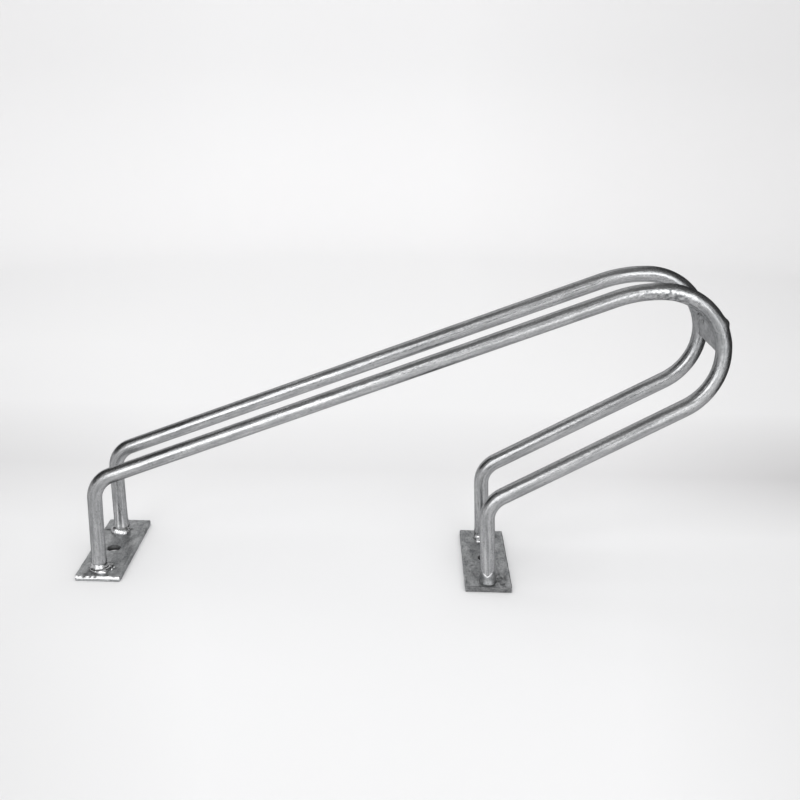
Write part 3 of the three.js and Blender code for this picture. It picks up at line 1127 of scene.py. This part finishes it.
def bridge_surface():
    """Rounded rectangles carried from one hoop to the other; the end of each line lies on the bar."""
    half_size = np.array([bridge_thickness, bridge_height]) / 2
    section, outward = rounded_outline(half_size, bridge_edge, bridge_columns)
    place = bridge_middle + section[:, :1] * radial + section[:, 1:] * upward
    across = np.linspace(-1, 1, bridge_rows)[:, None] * (bar_face(place) + bridge_sunk)[None]
    points = np.stack(np.broadcast_arrays(place[:, 0], across, place[:, 1]), -1)
    facing = outward[:, :1] * radial + outward[:, 1:] * upward
    zinc = bridge_wave * unevenness(points, bridge_wave_cell, bridge_seed)
    points[..., 0] += zinc * facing[:, 0]
    points[..., 2] += zinc * facing[:, 1]
    return points + route_start


print("the inner gap is %.1f mm" % (2 * bar_face(bridge_middle[None])[0] / MM))

# %% The bridge plate
bridge = grid_solid(bridge_surface())
shine = np.full(len(bridge[0]), bridge_shine)
offset = bridge[0] - route_start - (bridge_middle[0], 0, bridge_middle[1])
# Painted shade: dark mottles at the upper end of the bridge plate, in the corner by the far hoop.
upper_end = ease(offset[:, 2], *bridge_soot_rise) * ease(offset[:, 1], *bridge_soot_side)
soot = np.clip(bridge_soot * unevenness(bridge[0], bridge_soot_cell, bridge_seed + 2) * upper_end, 0, 1)
make_piece("bridge_plate", [bridge], "galvanised_plate", shine=shine, soot=soot)

# %% [markdown]
# ## Welds at the feet
#
# A fillet weld runs round each leg, and no two look alike. One shows a bright
# crescent, two have a step where the second pass starts, and one is a smooth
# collar whose top dips to a V on the near side. The bead was laid in small
# steps, which leave ripples, and zinc has run over it unevenly. A ring scaled
# by hand would look alike all round, so a section of (reach, height) points is
# turned round the leg and varied by the angle.

# %% Foot weld sections
weld_columns = 240
section_rows = 36
section_roundings = 3
under_steps = 8
weld_sunk = 0.3 * MM
weld_seat = 0.1 * MM
weld_sections = {
    "crescent": [
        (0, 8.0), (0.9, 7.4), (1.4, 6.3), (2.1, 5.7), (3.0, 4.6), (3.8, 3.2), (4.4, 1.6), (4.7, 0.2),
    ],
    "stepped": [
        (0, 7.6), (0.9, 7.2), (1.7, 5.4), (2.2, 3.4), (3.0, 2.2), (3.9, 2.1), (4.8, 1.3), (5.2, 0.2),
    ],
    "collar": [
        (-0.2, 9.6), (0.3, 9.4), (0.8, 7.7), (0.9, 6.3), (1.0, 4.5), (1.3, 2.8), (1.8, 1.3), (2.4, 0.2),
    ],
}
axis_step = 12 * MM
print("weld sections", sorted(weld_sections))


# %% Rounded section and leg axis
def smooth_section(corners, count):
    """More points through a section's corners: even steps along it, rounded by averaging neighbours."""
    steps = np.concatenate([[0], np.cumsum(np.linalg.norm(np.diff(corners, axis=0), axis=1))])
    even = np.linspace(0, steps[-1], count)
    line = np.stack([np.interp(even, steps, corners[:, i]) for i in (0, 1)], -1)
    for _ in range(section_roundings):
        line[1:-1] = (line[:-2] + 2 * line[1:-1] + line[2:]) / 4
    return line


def leg_axis(side, foot):
    """Centre of a leg at plate height, and its sideways step per unit of height."""
    start = plate_thickness - leg_seat
    distance = np.array([start, start + axis_step])
    if foot == "crown":
        distance = route_length - distance
    centre = hoop_frame(distance, side)[0]
    lean = (centre[1] - centre[0]) / (centre[1, 2] - centre[0, 2])
    base = centre[0] + lean * (plate_thickness - centre[0, 2])
    return base, lean


print("the entry's left leg stands at", (leg_axis(1, "entry")[0] / MM).round(1), "mm")

# %% Looks of the four foot welds
# Each look is (section, dullness, narrow angle, narrow share, lobe rise, square share). A negative dullness
# lightens the bead towards white, a painted highlight.
foot_looks = {
    "entry_left": ("crescent", -0.5, 90, 0.8, 0.0, 0.45),
    "entry_right": ("stepped", -0.2, 150, 0.4, 0.0, 0.0),
    "crown_left": ("stepped", 0.1, 180, 0.6, 0.0, 0.0),
    "crown_right": ("collar", 0.75, 95, 0.85, 5.5 * MM, 0.0),
}
weld_facing = -95
lobe_width = 0.65
ripple_count = 30
ripple_height = 0.16 * MM
ripple_slant = 1.2 / MM
ripple_rise = 0.3
ripple_start = (0.5 * MM, 4 * MM)
reach_unevenness = 0.16
reach_cell = 0.45
height_unevenness = 0.14
height_cell = 0.35
lobe_unevenness = 0.35
lobe_cell = 0.3
narrow_dullness = 0.6
# Painted highlight on the collar's raised rim: the heights it spans, how white it gets, and its arms.
rim_heights = (8.2 * MM, 8.8 * MM)
rim_painted_highlight = 1.05
rim_arms = (0.45, 0.7)
far_arm_loss = 0.5
far_arm_start = (0, 0.3)
foot_weld_seed = 60
crown_seed_step = 5
print("foot welds:", sorted(foot_looks))


# %% Foot weld surface
def weld_inside(outer, base, circle):
    """The hidden rows that close the ring: under the toe to the leg, and up inside the leg to the top."""
    wall = np.linspace(0, 1, under_steps)[:, None, None]
    lowest = outer[-1].copy()
    foot_ring = base + (bar_radius - weld_sunk) * circle
    for ring in (lowest, foot_ring):
        ring[:, 2] = plate_thickness - weld_seat
    top_ring = outer[0] - weld_sunk * circle
    under = lowest + wall * (foot_ring - lowest)
    inside = foot_ring + wall[1:-1] * (top_ring - foot_ring)
    return np.concatenate([under, inside])


def foot_weld(side, foot, looks, seed):
    """The section turned round the leaning leg: base + lean * height + (bar radius + reach) * spoke.
    Returns the grid and how dull it is. One side may be narrower and duller, two corners may stand out
    by square_share, and the top may rise from the facing side by lobe_rise * |sin(angle - facing)|."""
    section_name, dullness, narrow_angle, narrow_share, lobe_rise, square_share = looks
    base, lean = leg_axis(side, foot)
    section = smooth_section(np.array(weld_sections[section_name]) * MM, section_rows)
    angle = np.arange(weld_columns) / weld_columns * 2 * np.pi
    circle = np.stack([np.cos(angle), np.sin(angle), np.zeros(weld_columns)], -1)
    turn = circle + (0, 0, seed)
    from_facing = angle - np.radians(weld_facing)
    aside = np.abs(np.sin(from_facing))
    narrow = narrow_share * (0.5 + 0.5 * np.cos(angle - np.radians(narrow_angle)))
    square = square_share * np.sin(2 * from_facing) ** 2 * (np.cos(from_facing) > 0)
    uneven = (1 + reach_unevenness * unevenness(turn, reach_cell, seed)) * (1 - narrow) * (1 + square)
    wave = np.abs(np.sin(angle[None] * ripple_count / 2 + ripple_slant * section[:, :1]))
    ripples = ripple_height * wave * ease(section[:, 0], *ripple_start)[:, None]
    reach = section[:, :1] * uneven[None] + ripples
    taller = 1 + height_unevenness * unevenness(turn, height_cell, seed + 1)
    lobes = lobe_rise * np.minimum(aside, lobe_width)
    lobes = lobes * (1 + lobe_unevenness * unevenness(turn, lobe_cell, seed + 2))
    height = section[:, 1:] * taller[None] + ripple_rise * ripples
    height = height + lobes * (section[:, 1:] / section[0, 1]) ** 2
    outer = base + lean * height[..., None] + (bar_radius + reach)[..., None] * circle
    grid = np.concatenate([outer, weld_inside(outer, base, circle)])
    # Painted highlight: where the top rises, its rim is made near white along its arms, less on the far
    # one.
    rim = ease(section[:, 1], *rim_heights) * (lobe_rise > 0)
    arms = (1 - far_arm_loss * ease(np.sin(from_facing), *far_arm_start)) * (1 - ease(aside, *rim_arms))
    dull = np.full(grid.shape[:2], dullness) + narrow_dullness * narrow
    dull[:len(outer)] -= rim_painted_highlight * rim[:, None] * arms
    return grid, np.clip(dull, -1, 1)


print("a foot weld has", section_rows + 2 * under_steps - 2, "rows")

# %% Lumps and spatter
# A negative dull makes a lump near white: a painted highlight on it.
lump_table = {
    "entry_right": [
        (5.0, -12.2, -0.4, 6.8, 3.4, 4.0, -0.8), (11.5, 4.5, 0.3, 3.4, 4.4, 2.6, 0.4),
        (7.5, 12, 0.2, 3, 3, 1.5, 0.5), (15.2, -5, 0.3, 1.5, 1.5, 1.5, -1),
        (16.2, 1, 0.2, 1.3, 1.3, 1.2, -0.8),
    ],
    "entry_left": [(-12, 1, 0, 2.2, 3.0, 0.9, 0.5)],
    "crown_right": [
        (13, 7, 0.2, 3.2, 4.2, 1.4, 0.8), (15.5, -7, 0.2, 2.6, 3.2, 1.2, 0.8),
        (11, 14, 0.2, 2.3, 3.4, 1.1, 0.8), (17, -13, 0.1, 2, 2, 0.9, 0.7),
    ],
    "crown_left": [(-4.4, -12.2, 0.2, 3.6, 2.6, 2.8, -1), (-5.2, -8.2, 3.4, 3.2, 2.4, 3.4, -1)],
}
lump_grid = (26, 16)
lump_pole = 1.4
lump_unevenness = 0.16
lump_cell = 0.9
lump_seed_step = 3.7
spatter_grid = (10, 7)
spatter_count = 26
spatter_sizes = (0.35 * MM, 0.95 * MM)
spatter_reach = (13 * MM, 34 * MM)
spatter_flatness = 0.7
spatter_margin = 2 * MM
spatter_dullness = 0.4
print("large lumps:", {foot: len(lumps) for foot, lumps in lump_table.items()})


# %% Making lumps
def lump(place, size, seed, sides, rows):
    """A blob of zinc: place + size * (cos v cos u, cos v sin u, sin v) * (1 + unevenness * noise)."""
    u = np.arange(sides)[None] / sides * 2 * np.pi
    v = np.linspace(-lump_pole, lump_pole, rows)[:, None]
    ball = np.stack([np.cos(v) * np.cos(u), np.cos(v) * np.sin(u), np.sin(v) * np.ones_like(u)], -1)
    uneven = 1 + lump_unevenness * unevenness(ball + lump_seed_step * seed, lump_cell, seed)
    return grid_solid(np.array(place) + ball * np.array(size) * uneven[..., None])


def foot_lumps(side, foot, table, seed):
    """The large lumps of one foot from its table of (x, y, z, wide, deep, high, dull) in millimetres, and
    small spatter strewn round it on the plate. Returns the closed grids and how dull each is."""
    base, _ = leg_axis(side, foot)
    solids = []
    dullness = []
    for i, (x, y, z, wide, deep, high, dull) in enumerate(table):
        place = base + np.array((x, y, z)) * MM
        solids.append(lump(place, np.array((wide, deep, high)) * MM, seed + i, *lump_grid))
        dullness.append(dull)
    low, high = (corner[:2] for corner in node_box(f"{foot}_foot_plate"))
    random = np.random.default_rng(seed)
    for _ in range(spatter_count):
        turn = random.uniform(0, 2 * np.pi)
        reach = random.uniform(*spatter_reach)
        size = random.uniform(*spatter_sizes) * random.uniform(0.5, 1)
        place = base + reach * np.array([np.cos(turn), np.sin(turn), 0])
        if np.all(place[:2] > low + spatter_margin) and np.all(place[:2] < high - spatter_margin):
            solids.append(lump(place, size * np.array((1, 1, spatter_flatness)), seed, *spatter_grid))
            dullness.append(spatter_dullness)
    return solids, dullness


print("a lump has", len(lump((0, 0, 0), (1, 1, 1), 0, *lump_grid)[1]), "quads")

# %% The four foot welds
for foot in ("entry", "crown"):
    for word, side in hoop_sides.items():
        key = f"{foot}_{word}"
        seed = foot_weld_seed + crown_seed_step * (foot == "crown") + (side > 0)
        grid, ring_dull = foot_weld(side, foot, foot_looks[key], seed)
        lumps, dullness = foot_lumps(side, foot, lump_table[key], seed)
        lump_dull = [np.full(len(solid[0]), dull) for solid, dull in zip(lumps, dullness)]
        dull = np.concatenate([ring_dull.ravel()] + lump_dull)
        make_piece(f"{key}_leg_weld", [grid_solid(grid, ring=True)] + lumps, "galvanised_weld", dull=dull)

# %% [markdown]
# ## Welds at the bridge
#
# Four short beads run up the corners between the bridge plate and the bars.
# Each is a rippled bead with round ends. A row of small balls would look like
# beads on a string, so one radius swells along the bead instead, carried along
# the corner and a little wider towards the bar than it is thick.

# %% Sizes of a bridge bead
bead_rows = 60
bead_sides = 28
bead_radius = 2.7 * MM
bead_width = 1.3
bead_end = 0.995
bead_gap = 0.4 * MM
bead_sunk = 1.0 * MM
bead_bite = 0.3 * MM
bead_dullness = 0.7
bead_ripples = 11
bead_ripple_share = 0.07
bead_unevenness = 0.12
bead_cell = 0.6
bead_length_weight = 3
bead_seed = 80
bead_seed_step = 3
print("a bead is %.0f mm long" % ((bridge_height - 2 * bead_gap) / MM))


# %% The four bridge beads
def bridge_bead(side, face, seed):
    """A bead along the corner of plate and bar. The radius at share t is bead_radius * (1 - t^4)^(1/2)."""
    t = np.linspace(-bead_end, bead_end, bead_rows)
    run = t * (bridge_height / 2 - bead_gap)
    place = bridge_middle + face * (bridge_thickness / 2 - bead_sunk) * radial + run[:, None] * upward
    centre = np.stack([place[:, 0], side * (bar_face(place) - bead_bite), place[:, 1]], -1) + route_start
    angle = np.arange(bead_sides) / bead_sides * 2 * np.pi
    out = np.array([radial[0], 0, radial[1]])
    spoke = np.cos(angle)[:, None] * out + np.sin(angle)[:, None] * np.array([0, bead_width, 0])
    ripple = bead_ripple_share * np.abs(np.sin(t * bead_ripples * np.pi / 2))
    radius = bead_radius * np.sqrt(1 - t**4) * (1 + ripple)
    turn = np.broadcast_arrays(np.cos(angle)[None], np.sin(angle)[None], bead_length_weight * t[:, None])
    radius = radius[:, None] * (1 + bead_unevenness * unevenness(np.stack(turn, -1), bead_cell, seed))
    return centre[:, None] + radius[..., None] * spoke[None]


for word, side in hoop_sides.items():
    for place_word, face in (("inner", -1), ("outer", 1)):
        bead = grid_solid(bridge_bead(side, face, bead_seed + bead_seed_step * side + face))
        dull = np.full(len(bead[0]), bead_dullness)
        make_piece(f"bridge_{word}_{place_word}_weld", [bead], "galvanised_weld", dull=dull)

# %% [markdown]
# ## Stage
#
# The rack stands on a pale paper sweep: a round floor that curves up into a
# wall all round, so that every view has the same plain ground. A flat floor
# with one backdrop would end in a dark edge from behind. The paper's greys
# hold painted light and shade: lighter where little light falls, darker under
# the lamps, a painted pool of light in a lane before the camera, a painted
# falloff to both sides, and a painted shadow of the rack in a soft strip
# behind it.

# %% Sweep
sweep_radius = 2.4
sweep_bend = 0.5
sweep_wall = 0.9
sweep_middle = 0.02
sweep_columns = 128
sweep_rows = 24
wall_rows = 5


def stage_piece(name, points, faces):
    """A mesh that belongs to the stage and not to the rack."""
    mesh = bpy.data.meshes.new(name)
    mesh.from_pydata(points, [], faces)
    piece = bpy.data.objects.new(name, mesh)
    bpy.context.scene.collection.objects.link(piece)
    return piece


def make_sweep():
    """A profile of floor, quarter arc and wall, turned round the upright axis, with a fan in its middle."""
    flat_end = sweep_radius - sweep_bend
    turn = np.linspace(0, np.pi / 2, sweep_rows)[1:]
    floor = np.linspace(sweep_middle, flat_end, sweep_rows)
    wall = np.linspace(sweep_bend, sweep_wall, wall_rows + 1)[1:]
    radius = np.concatenate([floor, flat_end + sweep_bend * np.sin(turn), np.full(wall_rows, sweep_radius)])
    height = np.concatenate([np.zeros(sweep_rows), sweep_bend * (1 - np.cos(turn)), wall])
    angle = np.arange(sweep_columns) / sweep_columns * 2 * np.pi
    x, y = radius[:, None] * np.cos(angle), radius[:, None] * np.sin(angle)
    grid = np.stack(np.broadcast_arrays(x, y, height[:, None]), -1)
    points = np.concatenate([grid.reshape(-1, 3), [[0, 0, 0]]])
    quads = grid_faces(len(radius), sweep_columns, False)[:, ::-1]
    middle = fan(0, sweep_columns, len(points) - 1, False)
    sweep = stage_piece("sweep", points.tolist(), quads.tolist() + middle.tolist())
    polygons = sweep.data.polygons
    polygons.foreach_set("use_smooth", np.ones(len(polygons), bool))
    print("sweep of radius", sweep_radius, "with", len(polygons), "faces")
    return sweep


sweep = make_sweep()

# %% Tones of the paper
paper_greys = {
    "wall": ((0.737, 0.733, 0.735), (0.89, 0.888, 0.892)),
    "floor": ((0.65, 0.648, 0.65), (0.866, 0.866, 0.872)),
    "under lamps": ((0.56, 0.56, 0.562), (0.60, 0.60, 0.604)),
    "rack_shadow": ((0.44, 0.435, 0.438), (0.70, 0.694, 0.70)),
}
wall_right = (0.65, 0.0, 0.15, 1.1)
wall_left = (0.0, 0.35, -1.3, -0.5)
lane_near_end = -0.7
lane_half_width = 1.31
lane_slant = 0.06
lane_left = (0.4, 1.0, -0.44, -0.18)
lane_right = (1.0, 0.4, 0.2, 0.42)
lane_near = (0.75, 1.0, -0.45, -0.02)
lamp_floor = (1.0, 0.0, -1.2, -0.6)
far_floor = (0.0, 1.0, 0.3, 0.9)
wall_start = (0.0, 1.0, 0.0, 0.4)
# Painted shadow of the rack: where its strip starts and ends, how it grows to the right, and that it stays
# on the floor.
rack_shadow_start = (0.0, 1.0, 0.08, 0.27)
rack_shadow_end = (0.0, -1.0, 0.28, 0.55)
rack_shadow_right = (0.45, 1.0, 0.1, 0.55)
rack_shadow_floor_only = (1.0, 0.0, 0.0, 0.02)
paper_roughness = 0.9
paper_gloss = 0.1
print("paper greys:", sorted(paper_greys))


# %% Paper finish
def paper_finish():
    """Plain matt paper with painted light and shade in its colour. A lane that widens away from the camera
    is painted as the lightest part of the floor, a pool of light; the wall is painted a touch darker to
    both sides, as falling light; and a strip across the floor behind the rack carries a painted shadow of
    the rack.
    A row of four numbers says: from, to, and where the change starts and ends, in metres, or in widths
    of the lane for its left and right side."""
    material, tree, shader = start_material("sweep_paper")
    split = add(tree, "ShaderNodeSeparateXYZ", {"Vector": object_place(tree)})
    across, away, up = (split.outputs[axis] for axis in "XYZ")
    # Painted falloff of light: the wall and the far floor are made darker to both sides.
    tone = maths(tree, "ADD", spread(tree, across, *wall_right), spread(tree, across, *wall_left))
    wall = mixed(tree, tone, *paper_greys["wall"])
    # Painted pool of light: the floor is lightest in a lane that widens away from the camera.
    lane_width = maths(tree, "ADD", maths(tree, "MAXIMUM", away, lane_near_end), lane_half_width)
    from_lane = maths(tree, "ADD", across, maths(tree, "MULTIPLY", away, lane_slant))
    lane = maths(tree, "DIVIDE", from_lane, lane_width)
    sides = (spread(tree, lane, *lane_left), spread(tree, lane, *lane_right))
    lit = maths(tree, "MULTIPLY", *sides, spread(tree, away, *lane_near))
    greys = (paper_greys[grey] for grey in ("floor", "under lamps", "rack_shadow"))
    floor, under_lamps, rack_shadow = (mixed(tree, lit, *grey) for grey in greys)
    # Darker paper under the lamps, against the pool of light they throw there.
    floor = mixed(tree, spread(tree, away, *lamp_floor), floor, under_lamps)
    far = maths(tree, "MULTIPLY", spread(tree, away, *far_floor), tone)
    paper = mixed(tree, maths(tree, "ADD", far, spread(tree, up, *wall_start)), floor, wall)
    # Painted shadow of the rack: a soft darker strip across the floor behind it, stronger to the right.
    shade = maths(tree, "ADD", spread(tree, away, *rack_shadow_start), spread(tree, away, *rack_shadow_end))
    limits = (spread(tree, across, *rack_shadow_right), spread(tree, up, *rack_shadow_floor_only))
    shade = maths(tree, "MULTIPLY", shade, *limits)
    tree.links.new(mixed(tree, shade, paper, rack_shadow), shader.inputs["Base Color"])
    shader.inputs["Roughness"].default_value = paper_roughness
    shader.inputs["Specular IOR Level"].default_value = paper_gloss
    return material


sweep.data.materials.append(paper_finish())
print("the sweep carries", sweep.data.materials[0].name)

# %% [markdown]
# ## Cards and lamps
#
# Metal shows what stands round it. In a studio, cards do that work: dark ones
# at the right, at the left and overhead give the bars their dark edges, and two
# low bright ones before the rack are seen in the undersides. Two tall soft lamps
# stand in front, left and right of the camera, and draw the bright line along
# the bars. A wide lamp overhead, kept out of the reflections, lights the paper
# evenly, and the world gives less light than it shows. A picture of a room
# could light it all at once, but could not be set this closely.

# %% Cards
card_black = (0.01, 0.01, 0.01, 1)
card_glow_colour = (1, 1, 1, 1)
cards = {
    "right_card": ([(0.62, -0.25, 0.0), (0.62, 1.3, 0.0), (0.62, 1.3, 2.2), (0.62, -0.25, 2.2)], 0.04),
    "left_card": ([(-1.5, -0.8, 0.25), (-1.5, 1.2, 0.25), (-1.5, 1.2, 2.2), (-1.5, -0.8, 2.2)], 0.02),
    "top_card": ([(-1.8, -1.7, 2.3), (1.6, -1.7, 2.3), (1.6, 0.85, 2.3), (-1.8, 0.85, 2.3)], 0.24),
    "near_card": ([(-1.6, -0.8, 0.01), (1.6, -0.8, 0.01), (1.6, -1.2, 0.03), (-1.6, -1.2, 0.03)], 1.0),
    "lamp_card": ([(-1.6, -1.2, 0.03), (1.6, -1.2, 0.03), (1.6, -1.7, 0.1), (-1.6, -1.7, 0.1)], 2.4),
}


def make_card(name, corners, glow):
    """A flat card that only the metal's reflections see. Glow is how bright it looks there."""
    card = stage_piece(name, corners, [(0, 1, 2, 3)])
    material, _, shader = start_material(name)
    shader.inputs["Base Color"].default_value = card_black
    shader.inputs["Roughness"].default_value = 1.0
    shader.inputs["Emission Color"].default_value = card_glow_colour
    shader.inputs["Emission Strength"].default_value = glow
    card.data.materials.append(material)
    card.visible_camera = False
    card.visible_diffuse = False
    card.visible_shadow = False


for name, (corners, glow) in cards.items():
    make_card(name, corners, glow)
    print(name, "glows", glow)

# %% Lamps
lamps = {
    "left_lamp": ((-1.01, -1.8, 0.88), (1.05, 1.5), 13.4, (90, -20, 0), True),
    "right_lamp": ((0.92, -1.8, 0.89), (1.15, 1.5), 13.8, (90, 18, 0), True),
    "paper_lamp": ((0, 0.4, 2.6), (4.0, 4.0), 50, (0, 0, 0), False),
}


def soft_lamp(name, place, size, power, turn, in_reflections):
    """A soft lamp of a width and height, turned by degrees, that may be kept out of the reflections."""
    data = bpy.data.lights.new(name, "AREA")
    data.shape = "RECTANGLE"
    data.size, data.size_y = size
    data.energy = power
    lamp = bpy.data.objects.new(name, data)
    bpy.context.scene.collection.objects.link(lamp)
    lamp.location = place
    lamp.rotation_euler = np.radians(turn)
    lamp.visible_camera = False
    lamp.visible_glossy = in_reflections
    print(name, "of", power, "watts")


for name, settings in lamps.items():
    soft_lamp(name, *settings)

# %% World
world_seen = 0.88
world_light = 0.50
world = bpy.data.worlds.new("studio")
bpy.context.scene.world = world
world.use_nodes = True
tree = world.node_tree
ground = tree.nodes["Background"]
ray = add(tree, "ShaderNodeLightPath")
seen = maths(tree, "MAXIMUM", ray.outputs["Is Camera Ray"], ray.outputs["Is Glossy Ray"])
tree.links.new(spread(tree, seen, world_light, world_seen, 0, 1), ground.inputs["Strength"])
ground.inputs["Color"].default_value = (1, 1, 1, 1)
print("the world gives", world_light, "and shows", world_seen)

# %% [markdown]
# ## Camera
#
# The place and the angles were fitted to the edges of the bars and to the
# corners of the plates in the photograph. Setting a camera by eye would leave
# the far bars a little off.

# %% Camera
lens = bpy.data.cameras.new("camera")
lens.lens = 48.5755
lens.sensor_width = 36
lens.shift_x = 0.07204
lens.shift_y = 0.04205
camera = bpy.data.objects.new("camera", lens)
bpy.context.scene.collection.objects.link(camera)
camera.location = (0.01508, -1.11127, 0.55235)
camera.rotation_euler = np.radians((70.149, -0.020, 3.441))
bpy.context.scene.camera = camera
bpy.context.scene.view_settings.view_transform = "Standard"
print("camera at", tuple(round(value, 3) for value in camera.location), "lens of %.1f mm" % lens.lens)
